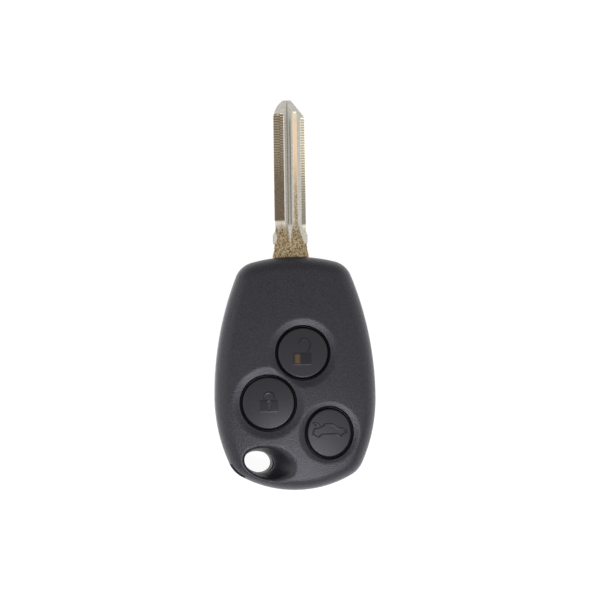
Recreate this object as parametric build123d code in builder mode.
# Remote car key: a pebble-shaped case in two shells, three push buttons in a rubber seal,
# a circuit board with its switches and coin cell, and a fixed double-edged blade.
# Millimetres. +Z is out of the button face, +Y runs to the tip of the blade, +X is to the right.
# The origin is on the rear face, under the middle of the overall length and width.
import math
import os
from collections import namedtuple

from build123d import *

# Overall sizes of the case and the blade
case_width = 41.0
case_length = 59.4
blade_reach = 39.8
parting_z = 5.0
ridge_z = 13.2

# Plan outline of the case: where the four arcs of each half meet
widest_rise = 23.6
shoulder_half_width = 13.45
shoulder_drop = 2.2
heel_half_width = 15.95
heel_rise = 4.8
shoulder_radius = 6.0
heel_radius = 7.0

# Crown of the front face: one arc across, and two along that meet at the ridge
ridge_rise = 27.0
crown_radius_across = 75.0
crown_radius_upper = 300.0
crown_radius_lower = 112.0
crown_depth = 12.0
crown_reach = 45.0

# Walls of the shells
wall = 1.6
roof = 1.7
floor_thickness = 1.4
front_edge_radius = 3.4
front_inner_radius = 2.0
rear_edge_radius = 3.0
rear_inner_radius = 1.2
reveal_height = 0.3
reveal_depth = 0.35
overrun = 1.0

# Tongue of the rear shell and its rabbet in the front shell
tongue_inset = 0.9
tongue_thickness = 0.6
tongue_height = 1.0
tongue_clearance = 0.05

# Snap hooks that stand on the tongue
hook_width = 4.0
hook_height = 2.4
hook_thickness = 0.7
hook_clearance = 0.05
hook_barb = 0.45
hook_barb_height = 0.9
hook_upper_rise = 41.0
hook_lower_rise = 20.5

# Buttons: centre from the middle line and the foot of the case, and half sizes
unlock_x = 1.8
unlock_rise = 35.0
unlock_radius = 6.3
unlock_dish_radius = 8.5
lock_x = -7.1
lock_rise = 22.4
lock_radius = 6.55
lock_dish_radius = 9.2
boot_x = 8.25
boot_rise = 14.6
boot_half_width = 5.55
boot_half_height = 6.1
boot_dish_radius = 7.9
button_travel = 0.3
button_sink = 0.15
button_dome_radius = 48.0
button_rim_radius = 0.35
button_skin = 1.3
button_wall = 1.1
flange_width = 0.9
flange_thickness = 0.7
stem_radius = 1.5
stem_rib_thickness = 0.8
dish_depth = 0.75
dish_wall_reach = 0.9

# Rubber seal between the shell and the button flanges
seal_gap = 0.7
seal_clearance = 0.15
seal_thickness = 0.6
seal_seat_z = 8.8
seal_margin = 1.1
seal_land_margin = 1.9
seal_lip_drop = 0.4

# Key ring channel, a slanted oval passage at the lower left
channel_x = -10.05
channel_rise = 7.3
channel_half_length = 3.6
channel_half_width = 2.8
mouth_x = -6.75
mouth_rise = 7.0
mouth_half_length = 6.7
mouth_half_width = 3.9
channel_turn = -13.8
channel_wall = 1.1
channel_neck_z = 4.2
channel_neck_shift = 0.3

# Coin slot that opens the case, at the lower left edge
slot_x = -15.5
slot_rise = 5.2
slot_length = 5.8
slot_depth = 1.2
slot_height = 2.0
slot_turn = -55.0

# Blade and its tang
blade_offset_x = -0.6
blade_z = 6.0
blade_thickness = 2.2
blade_width = 8.0
collar_width = 8.9
collar_top_rise = 7.4
collar_foot_rise = 3.5
neck_width = 8.4
neck_rise = 2.3
root_width = 9.2
tip_left_reach = 1.5
tip_left_fall = 4.6
tip_right_reach = 0.6
tip_slope_reach = 3.3
tip_slope_fall = 3.4
tip_right_fall = 5.0
edge_cut_depth = 0.45
left_cut_width = 2.65
right_cut_width = 1.1
edge_cut_start = 3.2
left_cut_foot = 8.9
right_cut_foot = 7.9
centre_cut_x = -0.12
centre_cut_spacing = 0.65
centre_cut_width = 0.36
centre_cut_depth = 0.3
centre_cut_foot = 4.4
side_cut_x = 1.45
side_cut_width = 1.1
side_cut_depth = 0.55
side_cut_start = 2.8
side_cut_foot = 4.8
tang_width = 12.0
tang_length = 12.0
tang_corner_radius = 1.0
tang_setback = 0.8
blade_clearance = 0.1

# Post of the front shell that holds the blade by its tang
post_back = 6.2
post_radius = 2.2
post_clearance = 0.15
post_core_radius = 1.1
post_core_depth = 4.0
tang_pad_radius = 3.6

# Circuit board and what holds it
board_thickness = 1.0
board_top_z = 5.2
board_clearance = 1.0
board_top_gap = 1.0
board_notch_clearance = 0.5
pin_radius = 1.1
pin_inset = 5.0
upper_pin_rise = 36.0
left_pin_rise = 15.5
right_pin_rise = 25.5
foot_pin_rise = 6.2
rest_radius = 1.6

# Tact switches
switch_side = 5.2
switch_base_height = 1.25
switch_cover_thickness = 0.2
switch_cover_margin = 0.05
switch_clip_width = 2.2
switch_clip_height = 0.8
switch_plunger_radius = 1.25
switch_plunger_stand = 0.55
switch_plunger_foot_radius = 1.7
switch_plunger_foot_height = 0.45
switch_hole_clearance = 0.1
switch_dome_room = 0.2
terminal_width = 0.7
terminal_length = 1.0
terminal_thickness = 0.2
terminal_spacing = 3.4

# Coin cell and its contacts
cell_x = 1.5
cell_rise = 25.0
cell_radius = 10.0
cell_height = 1.6
cell_cap_radius = 8.8
cell_cap_step = 0.25
cell_flange_height = 0.75
cell_can_wall = 0.3
cell_gasket_wall = 0.35
contact_thickness = 0.2
contact_radius = 6.0
contact_hub_radius = 2.0
contact_slot_width = 1.2
contact_slot_count = 6
clip_thickness = 0.25
clip_width = 6.0
clip_foot = 2.0
clip_clearance = 0.15
clip_pad_radius = 2.5
nest_clearance = 0.5
nest_wall = 0.8
nest_height = 2.0
nest_gap = 0.8

# Parts on the button side of the board
chip_x = -7.5
chip_setback = 4.2
chip_length = 8.6
chip_width = 3.9
chip_height = 1.5
chip_draft = 8.0
chip_pin_count = 7
chip_pin_pitch = 1.2
chip_pin_width = 0.42
chip_pin_reach = 1.0
chip_pin_thickness = 0.2
coil_inset = 10.3
coil_setback = 3.1
coil_length = 9.0
coil_core_width = 2.0
coil_core_height = 1.2
coil_end_length = 1.3
coil_end_margin = 0.3
coil_wire = 0.25
crystal_inset = 7.3
crystal_rise = 31.0
crystal_length = 4.6
crystal_width = 2.6
crystal_height = 1.1
crystal_base_height = 0.3
crystal_base_margin = 0.3
small_length = 1.6
small_width = 0.8
small_height = 0.6
small_pitch = 1.5
small_count = 4
capacitor_x = 6.0
capacitor_rise = 26.0
resistor_x = 0.8
resistor_rise = 12.2
trace_width = 0.6
trace_thickness = 0.05
trace_inset = 0.3
trace_start_x = 6.0
trace_top_margin = 1.5
trace_foot_rise = 9.5

# Places worked out from the sizes above
overall_length = case_length + blade_reach
foot_y = -overall_length / 2
top_y = foot_y + case_length
half_width = case_width / 2
widest_y = foot_y + widest_rise
ridge_y = foot_y + ridge_rise
board_bottom_z = board_top_z - board_thickness
switch_top_z = board_top_z + switch_base_height + switch_cover_thickness
plunger_top_z = switch_top_z + switch_plunger_stand
flange_top_z = seal_seat_z - seal_thickness
blade_bottom_z = blade_z - blade_thickness / 2
blade_top_z = blade_z + blade_thickness / 2
post_y = top_y - wall - post_back
tang_foot_y = top_y - wall - tang_length
ceiling_z = ridge_z + overrun
crown_side = half_width + wall + overrun
board_inset = wall + board_clearance
board_top_y = tang_foot_y - board_top_gap
cell_y = foot_y + cell_rise
cell_top_z = board_bottom_z - contact_thickness
cell_bottom_z = cell_top_z - cell_height
clip_bottom_z = cell_bottom_z - clip_thickness
tip_y = top_y + blade_reach


def crown_height(x, y):
    """Height of the front face above the rear face at a place in plan."""
    along = crown_radius_upper if y > ridge_y else crown_radius_lower
    fall_across = crown_radius_across - math.sqrt(crown_radius_across**2 - x**2)
    reach = along - fall_across
    return ridge_z - along + math.sqrt(reach**2 - (y - ridge_y) ** 2)


def crown_plane(x, y, sink=0.0):
    """Plane square to the front face at a place in plan, sunk below it."""
    step = wall / 10
    slope_x = (crown_height(x + step, y) - crown_height(x - step, y)) / (2 * step)
    slope_y = (crown_height(x, y + step) - crown_height(x, y - step)) / (2 * step)
    normal = Vector(-slope_x, -slope_y, 1).normalized()
    origin = Vector(x, y, crown_height(x, y)) - normal * sink
    return Plane(origin=origin, x_dir=(1, 0, slope_x), z_dir=normal)


def side_half_width(rise):
    """Half width of the case at a height above its foot."""
    upper = rise > widest_rise
    if upper:
        end_rise, end_half = case_length - shoulder_drop, shoulder_half_width
    else:
        end_rise, end_half = heel_rise, heel_half_width
    span, fall = abs(end_rise - widest_rise), half_width - end_half
    radius = (span**2 + fall**2) / (2 * fall)
    return half_width - radius + math.sqrt(radius**2 - (rise - widest_rise) ** 2)


def case_outline(inset=0.0):
    """Plan outline of the case, drawn in by an inset."""
    shoulder = (shoulder_half_width, top_y - shoulder_drop)
    heel = (heel_half_width, foot_y + heel_rise)
    widest = (half_width, widest_y)
    with BuildSketch() as outline:
        with BuildLine():
            TangentArc(widest, shoulder, tangent=(0, 1))
            TangentArc(widest, heel, tangent=(0, -1))
            mirror(about=Plane.YZ)
            ThreePointArc(shoulder, (0, top_y), (-shoulder[0], shoulder[1]))
            ThreePointArc(heel, (0, foot_y), (-heel[0], heel[1]))
        make_face()
        if inset > 0:
            offset(amount=-inset)
        fillet(outline.vertices().group_by(Axis.Y)[0], heel_radius - inset)
        fillet(outline.vertices().group_by(Axis.Y)[-1], shoulder_radius - inset)
    return outline.sketch


def crown_block(drop):
    """Everything below the crowned front face, lowered by a drop."""
    across = crown_radius_across - drop
    top = ridge_z - drop
    with BuildPart() as block:
        for along, turn in ((crown_radius_upper, -1), (crown_radius_lower, 1)):
            with BuildSketch(Plane.XZ.offset(-ridge_y)):
                with BuildLine():
                    edge_z = top - across + math.sqrt(across**2 - crown_side**2)
                    left, right = (-crown_side, edge_z), (crown_side, edge_z)
                    base = ridge_z - crown_depth
                    ThreePointArc(left, (0, top), right)
                    Polyline(right, (crown_side, base), (-crown_side, base), left)
                make_face()
            hinge = Axis((0, ridge_y, ridge_z - along), (turn, 0, 0))
            revolve(axis=hinge, revolution_arc=math.degrees(crown_reach / along))
    return block.part


def front_form(inset, drop, edge_radius):
    """The front shell's body without its hollow, drawn in by an inset and lowered by a drop."""
    with BuildPart() as form:
        with BuildSketch(Plane.XY.offset(parting_z)):
            add(case_outline(inset))
        extrude(amount=ceiling_z - parting_z)
        add(crown_block(drop), mode=Mode.INTERSECT)
        rim = form.edges().filter_by(
            lambda edge: edge.bounding_box().size.Y > wall / 2
            and edge.bounding_box().min.Z > parting_z + front_inner_radius
        )
        fillet(rim, edge_radius)
    return form.part


def channel_sections(margin):
    """Oval sections of the key ring channel, from below the rear face to above the front."""
    foot = (channel_x, foot_y + channel_rise)
    neck = (channel_x + channel_neck_shift, foot_y + channel_rise)
    mouth = (mouth_x, foot_y + mouth_rise)
    small = (channel_half_length + margin, channel_half_width + margin)
    middle = (small[0] + channel_neck_shift, small[1])
    large = (mouth_half_length + margin, mouth_half_width + margin)
    mouth_z = crown_height(*mouth)
    return (
        (-overrun, foot, small),
        (channel_neck_z, neck, middle),
        (mouth_z, mouth, large),
    )


def channel_body(margin=0.0):
    """The key ring channel as a solid: an upright throat below and a slanted scoop above."""
    throat, neck, mouth = channel_sections(margin)
    with BuildPart() as body:
        for level, centre, radii in (throat, (channel_neck_z,) + neck[1:]):
            with BuildSketch(Plane.XY.offset(level)):
                with Locations(centre):
                    Ellipse(*radii, rotation=channel_turn)
        loft()
        for level, centre, radii in (neck, mouth):
            with BuildSketch(Plane.XY.offset(level)):
                with Locations(centre):
                    Ellipse(*radii, rotation=channel_turn)
        loft()
        with BuildSketch(Plane.XY.offset(mouth[0])):
            with Locations(mouth[1]):
                Ellipse(*mouth[2], rotation=channel_turn)
        extrude(amount=ceiling_z)
    return body.part



Key = namedtuple("Key", "name x y half_width half_height dish_radius")
keys = (
    Key("unlock", unlock_x, foot_y + unlock_rise, unlock_radius, unlock_radius, unlock_dish_radius),
    Key("lock", lock_x, foot_y + lock_rise, lock_radius, lock_radius, lock_dish_radius),
    Key("boot", boot_x, foot_y + boot_rise, boot_half_width, boot_half_height, boot_dish_radius),
)


def oval(key, margin):
    """Plan of a key, grown by a margin."""
    with BuildSketch() as plan:
        with Locations((key.x, key.y)):
            Ellipse(key.half_width + margin, key.half_height + margin)
    return plan.sketch


def seal_outline():
    """Plan of the seal: an oval about each key, and the triangle between their centres."""
    with BuildSketch() as plan:
        for key in keys:
            add(oval(key, seal_gap + seal_margin))
        with BuildLine():
            Polyline(*((key.x, key.y) for key in keys), close=True)
        make_face()
    return plan.sketch


def ring_outline(inset, thickness):
    """Plan of a wall that follows the case outline."""
    with BuildSketch() as ring:
        add(case_outline(inset))
        add(case_outline(inset + thickness), mode=Mode.SUBTRACT)
    return ring.sketch


def hook_outline(inset, thickness, width):
    """Plan of the short stretches of wall at the four snap hooks."""
    with BuildSketch() as stretches:
        for rise in (hook_upper_rise, hook_lower_rise):
            with Locations((0, foot_y + rise)):
                Rectangle(case_width, width)
        add(ring_outline(inset, thickness), mode=Mode.INTERSECT)
    return stretches.sketch


def pin_places():
    """Where the front shell's pins and the rear shell's rests hold the board."""
    left = (upper_pin_rise, left_pin_rise)
    right = (upper_pin_rise, right_pin_rise, foot_pin_rise)
    return [(pin_inset - side_half_width(rise), foot_y + rise) for rise in left] + [
        (side_half_width(rise) - pin_inset, foot_y + rise) for rise in right
    ]


def rise_from(level, plan, top):
    """A plan raised from one level to another."""
    with BuildPart() as block:
        with BuildSketch(Plane.XY.offset(level)):
            add(plan)
        extrude(amount=top - level)
    return block.part


def disc(centre, radius):
    """Plan of a round boss or hole."""
    with BuildSketch() as plan:
        with Locations(centre):
            Circle(radius)
    return plan.sketch


def blade_slot():
    """Opening for the blade through the end walls of both shells."""
    height = blade_thickness + 2 * blade_clearance
    with BuildPart() as slot:
        with Locations((blade_offset_x, top_y - wall / 2, blade_z)):
            Box(root_width + 2 * blade_clearance, 2 * wall + overrun, height)
    return slot.part


def seal_lip(key):
    """Lip of the seal in the bore of a key, cut parallel to the front face."""
    with BuildPart() as lip:
        add(rise_from(flange_top_z, oval(key, seal_gap - seal_clearance), ceiling_z))
        split(bisect_by=crown_plane(key.x, key.y, dish_depth + seal_lip_drop), keep=Keep.BOTTOM)
    return lip.part


def button_dome(key):
    """Ball whose cap is the domed top of a key, standing off the case's own crown."""
    top = crown_plane(key.x, key.y, button_sink)
    with BuildPart() as ball:
        with Locations(top.offset(-button_dome_radius).origin):
            Sphere(button_dome_radius, rotation=(90, 0, 0))
    return ball.part


def button_hollow(key):
    """Hollow of a key, with its stem and crossed ribs left out."""
    dome_fall = key.half_width**2 / (2 * button_dome_radius)
    with BuildPart() as hollow:
        add(rise_from(0, oval(key, -button_wall), ceiling_z))
        roof_plane = crown_plane(key.x, key.y, button_sink + dome_fall + button_skin)
        split(bisect_by=roof_plane, keep=Keep.BOTTOM)
        with BuildSketch():
            with Locations((key.x, key.y)):
                Circle(stem_radius)
                Rectangle(2 * key.half_width, stem_rib_thickness)
                Rectangle(stem_rib_thickness, 2 * key.half_height)
        extrude(amount=ceiling_z, mode=Mode.SUBTRACT)
    return hollow.part


def flange_ring(key):
    """Plan of the flange round the foot of a key."""
    with BuildSketch() as ring:
        add(oval(key, flange_width))
        add(oval(key, -button_wall), mode=Mode.SUBTRACT)
    return ring.sketch


def board_outline(inset):
    """Plan of the circuit board, drawn in by an inset."""
    with BuildSketch() as plan:
        add(case_outline(board_inset + inset))
        with Locations((0, board_top_y - inset)):
            Rectangle(case_width, case_length, align=(Align.CENTER, Align.MAX), mode=Mode.INTERSECT)
    return plan.sketch


def blade_outline():
    """Plan of the blade and its tang."""
    middle = blade_offset_x
    step = (collar_width - blade_width) / 2
    tang_top_y = tang_foot_y + tang_length - tang_setback
    with BuildSketch() as plan:
        with BuildLine():
            foot = Line((middle - root_width / 2, tang_top_y), (middle + root_width / 2, tang_top_y))
            Polyline(
                foot @ 1,
                (middle + root_width / 2, top_y),
                (middle + neck_width / 2, top_y + neck_rise),
                (middle + collar_width / 2, top_y + collar_foot_rise),
                (middle + collar_width / 2, top_y + collar_top_rise),
                (middle + blade_width / 2, top_y + collar_top_rise + step),
                (middle + blade_width / 2, tip_y - tip_right_fall),
            )
            slope_start = (middle + tip_slope_reach, tip_y - tip_slope_fall)
            TangentArc(
                (middle + blade_width / 2, tip_y - tip_right_fall), slope_start, tangent=(0, 1)
            )
            Polyline(
                slope_start,
                (middle + tip_right_reach, tip_y),
                (middle - tip_left_reach, tip_y),
            )
            TangentArc(
                (middle - blade_width / 2, tip_y - tip_left_fall),
                (middle - tip_left_reach, tip_y),
                tangent=(0, 1),
            )
            Polyline(
                (middle - blade_width / 2, tip_y - tip_left_fall),
                (middle - blade_width / 2, top_y + collar_top_rise + step),
                (middle - collar_width / 2, top_y + collar_top_rise),
                (middle - collar_width / 2, top_y + collar_foot_rise),
                (middle - neck_width / 2, top_y + neck_rise),
                (middle - root_width / 2, top_y),
                foot @ 0,
            )
        make_face()
        with Locations((middle, tang_foot_y)):
            tang_align = (Align.CENTER, Align.MIN)
            Rectangle(tang_width, tang_top_y - tang_foot_y, align=tang_align)
        fillet(plan.vertices().group_by(Axis.Y)[0], tang_corner_radius)
    return plan.sketch


def groove(x, width, foot_rise, start_fall):
    """Plan of a lengthwise groove in the blade with a round end towards the tip."""
    foot, head = top_y + foot_rise, tip_y - start_fall
    with BuildSketch() as plan:
        with Locations((blade_offset_x + x, (foot + head) / 2)):
            SlotOverall(head - foot, width, rotation=90)
    return plan.sketch


def blade_cuts():
    """Depth and plan of each groove of one face of the blade."""
    left_x = -blade_width / 2 - overrun + (left_cut_width + overrun) / 2
    right_x = blade_width / 2 + overrun - (right_cut_width + overrun) / 2
    cuts = []
    for x, width, foot_rise in (
        (left_x, left_cut_width + overrun, left_cut_foot),
        (right_x, right_cut_width + overrun, right_cut_foot),
    ):
        foot, head = top_y + foot_rise, tip_y - edge_cut_start
        with BuildSketch() as plan:
            with Locations((blade_offset_x + x, (foot + head) / 2)):
                Rectangle(width, head - foot)
        cuts.append((edge_cut_depth, plan.sketch))
    for side in (-1, 1):
        x = centre_cut_x + side * centre_cut_spacing / 2
        plan = groove(x, centre_cut_width, centre_cut_foot, edge_cut_start)
        cuts.append((centre_cut_depth, plan))
    side = groove(side_cut_x, side_cut_width, side_cut_foot, side_cut_start)
    cuts.append((side_cut_depth, side))
    return cuts


def keep(name, piece):
    """Names a finished piece and writes it."""
    piece.label = name
    export_step(piece, f"parts/{name}.step")


post_centre = (blade_offset_x, post_y)
os.makedirs("parts", exist_ok=True)

# What stands inside the front shell: channel wall, key lands, pins, tang pad and post
with BuildPart() as front_inside:
    add(channel_body(channel_wall))
    for key in keys:
        land = oval(key, seal_gap + seal_land_margin)
        add(rise_from(seal_seat_z, land, ceiling_z))
    for place in pin_places():
        add(rise_from(board_top_z, disc(place, pin_radius), ceiling_z))
    add(rise_from(blade_top_z, disc(post_centre, tang_pad_radius), ceiling_z))
    add(rise_from(blade_bottom_z, disc(post_centre, post_radius), ceiling_z))
    core_top_z = blade_bottom_z + post_core_depth
    core = rise_from(blade_bottom_z, disc(post_centre, post_core_radius), core_top_z)
    add(core, mode=Mode.SUBTRACT)

# Hollow of the front shell
with BuildPart() as front_cavity:
    add(front_form(wall, roof, front_inner_radius))
    add(front_inside.part, mode=Mode.SUBTRACT)

# Front shell: crowned cover with the dished keys' bores and the key ring scoop
with BuildPart() as front_shell:
    add(front_form(0, 0, front_edge_radius))
    add(front_cavity.part, mode=Mode.SUBTRACT)
    # Rabbet for the tongue, and the shadow line along the parting plane
    rabbet = ring_outline(tongue_inset - tongue_clearance, wall - tongue_inset + tongue_clearance)
    rabbet_top_z = parting_z + tongue_height + tongue_clearance
    add(rise_from(parting_z, rabbet, rabbet_top_z), mode=Mode.SUBTRACT)
    reveal = ring_outline(0, reveal_depth)
    add(rise_from(parting_z, reveal, parting_z + reveal_height), mode=Mode.SUBTRACT)
    # Pockets for the barbs of the snap hooks
    pocket_depth = hook_barb + hook_clearance
    pocket = hook_outline(wall - pocket_depth, pocket_depth, hook_width + 2 * tongue_clearance)
    pocket_top_z = parting_z + hook_height + hook_clearance
    pocket_foot_z = pocket_top_z - hook_barb_height - 2 * hook_clearance
    add(rise_from(pocket_foot_z, pocket, pocket_top_z), mode=Mode.SUBTRACT)
    # Bores and dished surrounds of the three keys
    for key in keys:
        bore = oval(key, seal_gap)
        add(rise_from(seal_seat_z - overrun, bore, ceiling_z), mode=Mode.SUBTRACT)
    for key in keys:
        floor_radius = key.dish_radius - dish_wall_reach
        dish_slope = dish_wall_reach / dish_depth
        with Locations(crown_plane(key.x, key.y, dish_depth).location):
            Cone(
                floor_radius,
                key.dish_radius + dish_slope * overrun,
                dish_depth + overrun,
                align=(Align.CENTER, Align.CENTER, Align.MIN),
                mode=Mode.SUBTRACT,
            )
    # Coin slot, blade slot and key ring channel
    with BuildSketch(Plane.XY.offset(parting_z)):
        with Locations(Location((slot_x, foot_y + slot_rise), slot_turn)):
            Rectangle(slot_length, 2 * slot_depth)
    extrude(amount=slot_height, mode=Mode.SUBTRACT)
    add(blade_slot(), mode=Mode.SUBTRACT)
    add(channel_body(), mode=Mode.SUBTRACT)
keep("front_shell", front_shell.part)

# Hollow of the rear shell, with the rests, pads, cell nest and channel wall left out
with BuildPart() as rear_cavity:
    with BuildSketch(Plane.XY.offset(floor_thickness)):
        add(case_outline(wall))
    extrude(amount=parting_z - floor_thickness)
    fillet(rear_cavity.faces().sort_by(Axis.Z)[0].edges(), rear_inner_radius)
    for place in pin_places():
        add(rise_from(0, disc(place, rest_radius), board_bottom_z), mode=Mode.SUBTRACT)
    add(rise_from(0, disc(post_centre, tang_pad_radius), blade_bottom_z), mode=Mode.SUBTRACT)
    add(rise_from(0, disc((cell_x, cell_y), clip_pad_radius), clip_bottom_z), mode=Mode.SUBTRACT)
    nest_radius = cell_radius + nest_clearance
    with BuildSketch() as nest:
        with Locations((cell_x, cell_y)):
            Circle(nest_radius + nest_wall)
            Circle(nest_radius, mode=Mode.SUBTRACT)
            Rectangle(clip_width + 2 * nest_gap, 4 * cell_radius, mode=Mode.SUBTRACT)
    add(rise_from(0, nest.sketch, floor_thickness + nest_height), mode=Mode.SUBTRACT)
    add(channel_body(channel_wall), mode=Mode.SUBTRACT)

# Rear shell: plain tray with its tongue and snap hooks
with BuildPart() as rear_shell:
    with BuildSketch():
        add(case_outline())
    extrude(amount=parting_z)
    fillet(rear_shell.faces().sort_by(Axis.Z)[0].edges(), rear_edge_radius)
    add(rear_cavity.part, mode=Mode.SUBTRACT)
    tongue = ring_outline(tongue_inset, tongue_thickness)
    add(rise_from(floor_thickness + rear_inner_radius, tongue, parting_z + tongue_height))
    hook_inset = wall + hook_clearance
    hook_foot = hook_outline(tongue_inset, hook_inset + hook_thickness - tongue_inset, hook_width)
    add(rise_from(parting_z - hook_height, hook_foot, parting_z))
    hook_stem = hook_outline(hook_inset, hook_thickness, hook_width)
    hook_top_z = parting_z + hook_height
    add(rise_from(parting_z, hook_stem, hook_top_z))
    barb = hook_outline(wall - hook_barb, hook_inset + hook_barb - wall, hook_width)
    add(rise_from(hook_top_z - hook_barb_height, barb, hook_top_z))
    add(blade_slot(), mode=Mode.SUBTRACT)
    add(channel_body(), mode=Mode.SUBTRACT)
keep("rear_shell", rear_shell.part)

# Rubber seal: a sheet under the shell with a lip that stands in each bore
with BuildPart() as keypad_seal:
    add(rise_from(flange_top_z, seal_outline(), seal_seat_z))
    for key in keys:
        add(seal_lip(key))
        add(rise_from(0, oval(key, seal_clearance), ceiling_z), mode=Mode.SUBTRACT)
keep("keypad_seal", keypad_seal.part)

# Buttons: domed hollow caps with a flange under the seal and a ribbed stem on the switch
for key in keys:
    with BuildPart() as button:
        add(rise_from(flange_top_z - flange_thickness, oval(key, 0), ceiling_z))
        add(button_dome(key), mode=Mode.INTERSECT)
        fillet(button.faces().sort_by(Axis.Z)[-1].edges(), button_rim_radius)
        add(button_hollow(key), mode=Mode.SUBTRACT)
        add(rise_from(flange_top_z - flange_thickness, flange_ring(key), flange_top_z))
        add(rise_from(plunger_top_z, disc((key.x, key.y), stem_radius), flange_top_z))
    keep(f"{key.name}_button", button.part)

# Tact switches under the buttons
for key in keys:
    middle = (key.x, key.y)
    foot_radius = switch_plunger_foot_radius + switch_hole_clearance
    base_top_z = board_top_z + switch_base_height
    with BuildPart() as switch_base:
        with BuildSketch(Plane.XY.offset(board_top_z)):
            with Locations(middle):
                Rectangle(switch_side, switch_side)
        extrude(amount=switch_base_height)
        well_z = base_top_z - switch_plunger_foot_height - button_travel - switch_dome_room
        add(rise_from(well_z, disc(middle, foot_radius), base_top_z), mode=Mode.SUBTRACT)
    keep(f"{key.name}_switch_base", switch_base.part)

    with BuildPart() as switch_cover:
        cover_side = switch_side + 2 * switch_cover_margin
        with BuildSketch(Plane.XY.offset(base_top_z)):
            with Locations(middle):
                Rectangle(cover_side, cover_side)
                Circle(switch_plunger_radius + switch_hole_clearance, mode=Mode.SUBTRACT)
        extrude(amount=switch_cover_thickness)
        with BuildSketch(Plane.XY.offset(switch_top_z)):
            with Locations(middle):
                Rectangle(cover_side + 2 * switch_cover_thickness, switch_clip_width)
                Rectangle(cover_side, switch_clip_width, mode=Mode.SUBTRACT)
        extrude(amount=-switch_clip_height)
    keep(f"{key.name}_switch_cover", switch_cover.part)

    with BuildPart() as plunger:
        add(rise_from(base_top_z, disc(middle, switch_plunger_radius), plunger_top_z))
        foot_z = base_top_z - switch_plunger_foot_height
        add(rise_from(foot_z, disc(middle, switch_plunger_foot_radius), base_top_z))
    keep(f"{key.name}_plunger", plunger.part)

with BuildPart() as switch_terminals:
    terminal_y = (switch_side + terminal_length) / 2
    with BuildSketch(Plane.XY.offset(board_top_z)):
        for key in keys:
            with Locations((key.x, key.y)):
                with GridLocations(terminal_spacing, 2 * terminal_y, 2, 2):
                    Rectangle(terminal_width, terminal_length)
    extrude(amount=terminal_thickness)
keep("switch_terminals", switch_terminals.part)

# Circuit board, cut back at the tang and round the key ring channel
with BuildPart() as circuit_board:
    with BuildSketch(Plane.XY.offset(board_bottom_z)):
        add(board_outline(0))
    extrude(amount=board_thickness)
    add(channel_body(channel_wall + board_notch_clearance), mode=Mode.SUBTRACT)
keep("circuit_board", circuit_board.part)

# Coin cell: can, gasket and cap, with the cap towards the board
gasket_outer = cell_radius - cell_can_wall
flange_outer = gasket_outer - cell_gasket_wall
can_floor_z = cell_bottom_z + cell_can_wall
cap_flange_z = can_floor_z + cell_flange_height
rim_z = cell_top_z - cell_cap_step
cell_centre = (cell_x, cell_y)
with BuildPart() as cell_can:
    add(rise_from(cell_bottom_z, disc(cell_centre, cell_radius), rim_z))
    fillet(cell_can.faces().sort_by(Axis.Z)[0].edges(), cell_can_wall)
    add(rise_from(can_floor_z, disc(cell_centre, gasket_outer), rim_z), mode=Mode.SUBTRACT)
keep("cell_can", cell_can.part)

with BuildPart() as cell_gasket:
    add(rise_from(can_floor_z, disc(cell_centre, gasket_outer), rim_z))
    add(rise_from(can_floor_z, disc(cell_centre, flange_outer), cap_flange_z), mode=Mode.SUBTRACT)
    add(rise_from(cap_flange_z, disc(cell_centre, cell_cap_radius), rim_z), mode=Mode.SUBTRACT)
keep("cell_gasket", cell_gasket.part)

with BuildPart() as cell_cap:
    add(rise_from(can_floor_z, disc(cell_centre, flange_outer), cap_flange_z))
    add(rise_from(cap_flange_z, disc(cell_centre, cell_cap_radius), cell_top_z))
    fillet(cell_cap.faces().sort_by(Axis.Z)[-1].edges(), cell_cap_step / 2)
keep("cell_cap", cell_cap.part)

with BuildPart() as battery_contact:
    with BuildSketch(Plane.XY.offset(cell_top_z)):
        with Locations(cell_centre):
            Circle(contact_radius)
        slot_reach = contact_radius - contact_hub_radius + overrun
        with Locations(Location((cell_x, cell_y))):
            with PolarLocations(contact_hub_radius + slot_reach / 2, contact_slot_count):
                SlotOverall(slot_reach, contact_slot_width, mode=Mode.SUBTRACT)
    extrude(amount=contact_thickness)
keep("battery_contact", battery_contact.part)

# Spring clip that carries the cell and joins its can to the board
with BuildPart() as battery_clip:
    leg = cell_radius + clip_clearance
    outer = leg + clip_thickness
    foot_z = board_bottom_z - clip_thickness
    with BuildSketch(Plane.YZ.offset(cell_x - clip_width / 2)):
        with BuildLine():
            Polyline(
                (cell_y, clip_bottom_z),
                (cell_y + outer, clip_bottom_z),
                (cell_y + outer, foot_z),
                (cell_y + outer + clip_foot, foot_z),
                (cell_y + outer + clip_foot, board_bottom_z),
                (cell_y + leg, board_bottom_z),
                (cell_y + leg, cell_bottom_z),
                (cell_y, cell_bottom_z),
            )
            mirror(about=Plane.YZ.offset(cell_y))
        make_face()
    extrude(amount=clip_width)
keep("battery_clip", battery_clip.part)

# Remote control chip and its pins
chip_centre = (chip_x, board_top_y - chip_setback)
with BuildPart() as remote_chip:
    with BuildSketch(Plane.XY.offset(board_top_z + chip_pin_thickness)):
        with Locations(chip_centre):
            Rectangle(chip_length, chip_width)
    extrude(amount=chip_height, taper=chip_draft)
keep("remote_chip", remote_chip.part)

with BuildPart() as chip_pins:
    pin_span = chip_width + chip_pin_reach
    with BuildSketch(Plane.XY.offset(board_top_z)):
        with Locations(chip_centre):
            with GridLocations(chip_pin_pitch, pin_span, chip_pin_count, 2):
                Rectangle(chip_pin_width, 2 * chip_pin_reach)
    extrude(amount=chip_pin_thickness)
keep("chip_pins", chip_pins.part)

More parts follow.
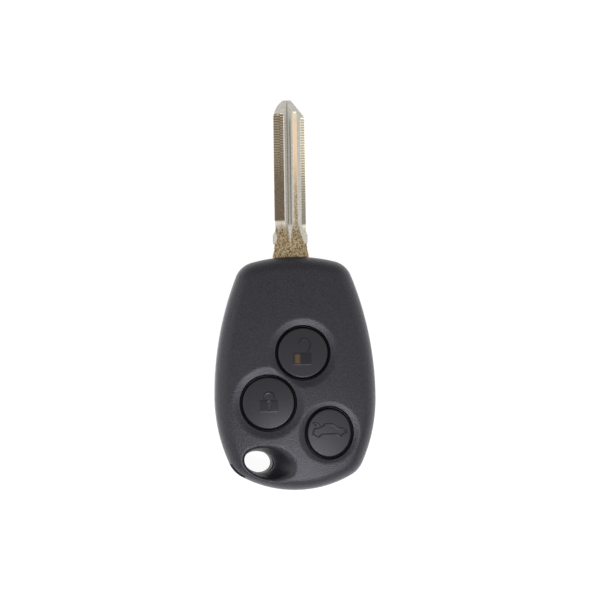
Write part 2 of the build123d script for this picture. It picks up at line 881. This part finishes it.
# Antenna coil: ferrite core with flanged ends, and its winding
coil_centre = (half_width - coil_inset, board_top_y - coil_setback)
core_z = board_top_z + coil_end_margin
wound_length = coil_length - 2 * coil_end_length
with BuildPart() as coil_core:
    with BuildSketch(Plane.XY.offset(board_top_z)):
        with Locations(coil_centre):
            with GridLocations(wound_length + coil_end_length, 0, 2, 1):
                Rectangle(coil_end_length, coil_core_width + 2 * coil_end_margin)
    extrude(amount=coil_core_height + 2 * coil_end_margin)
    with BuildSketch(Plane.XY.offset(core_z)):
        with Locations(coil_centre):
            Rectangle(wound_length, coil_core_width)
    extrude(amount=coil_core_height)
keep("coil_core", coil_core.part)

with BuildPart() as coil_winding:
    middle_z = core_z + coil_core_height / 2
    with BuildSketch(Plane.YZ.offset(coil_centre[0] - wound_length / 2)):
        with Locations((coil_centre[1], middle_z)):
            RectangleRounded(
                coil_core_width + 2 * coil_wire, coil_core_height + 2 * coil_wire, coil_wire
            )
            Rectangle(coil_core_width, coil_core_height, mode=Mode.SUBTRACT)
    extrude(amount=wound_length)
keep("coil_winding", coil_winding.part)

# Crystal: lidded metal can on a ceramic base
crystal_centre = (half_width - crystal_inset, foot_y + crystal_rise)
with BuildPart() as crystal_base:
    with BuildSketch(Plane.XY.offset(board_top_z)):
        with Locations(crystal_centre):
            Rectangle(crystal_width, crystal_length)
    extrude(amount=crystal_base_height)
keep("crystal_base", crystal_base.part)

with BuildPart() as crystal_can:
    can_width = crystal_width - 2 * crystal_base_margin
    with BuildSketch(Plane.XY.offset(board_top_z + crystal_base_height)):
        with Locations(crystal_centre):
            RectangleRounded(can_width, crystal_length - 2 * crystal_base_margin, crystal_base_margin)
    extrude(amount=crystal_height - crystal_base_height)
keep("crystal_can", crystal_can.part)

# Rows of small chip parts
for name, x, rise in (
    ("capacitors", capacitor_x, capacitor_rise),
    ("resistors", resistor_x, resistor_rise),
):
    with BuildPart() as row:
        with BuildSketch(Plane.XY.offset(board_top_z)):
            with Locations((x, foot_y + rise)):
                with GridLocations(small_pitch, 0, small_count, 1):
                    Rectangle(small_width, small_length)
        extrude(amount=small_height)
    keep(name, row.part)

# Antenna loop printed along the right-hand edge of the board
with BuildPart() as antenna_trace:
    with BuildSketch(Plane.XY.offset(board_top_z)):
        add(board_outline(trace_inset))
        add(board_outline(trace_inset + trace_width), mode=Mode.SUBTRACT)
        trace_foot_y = foot_y + trace_foot_rise
        trace_length = board_top_y - trace_top_margin - trace_foot_y
        with Locations((trace_start_x, trace_foot_y)):
            Rectangle(case_width, trace_length, align=(Align.MIN, Align.MIN), mode=Mode.INTERSECT)
    extrude(amount=trace_thickness)
keep("antenna_trace", antenna_trace.part)

# Blade with its tang, grooved alike on both faces
with BuildPart() as key_blade:
    with BuildSketch(Plane.XY.offset(blade_bottom_z)):
        add(blade_outline())
    extrude(amount=blade_thickness)
    for face_z, cut_sign in ((blade_top_z, -1), (blade_bottom_z, 1)):
        for depth, cut in blade_cuts():
            with BuildSketch(Plane.XY.offset(face_z)):
                add(cut)
            extrude(amount=cut_sign * depth, mode=Mode.SUBTRACT)
    add(rise_from(0, disc(post_centre, post_radius + post_clearance), ceiling_z), mode=Mode.SUBTRACT)
keep("key_blade", key_blade.part)
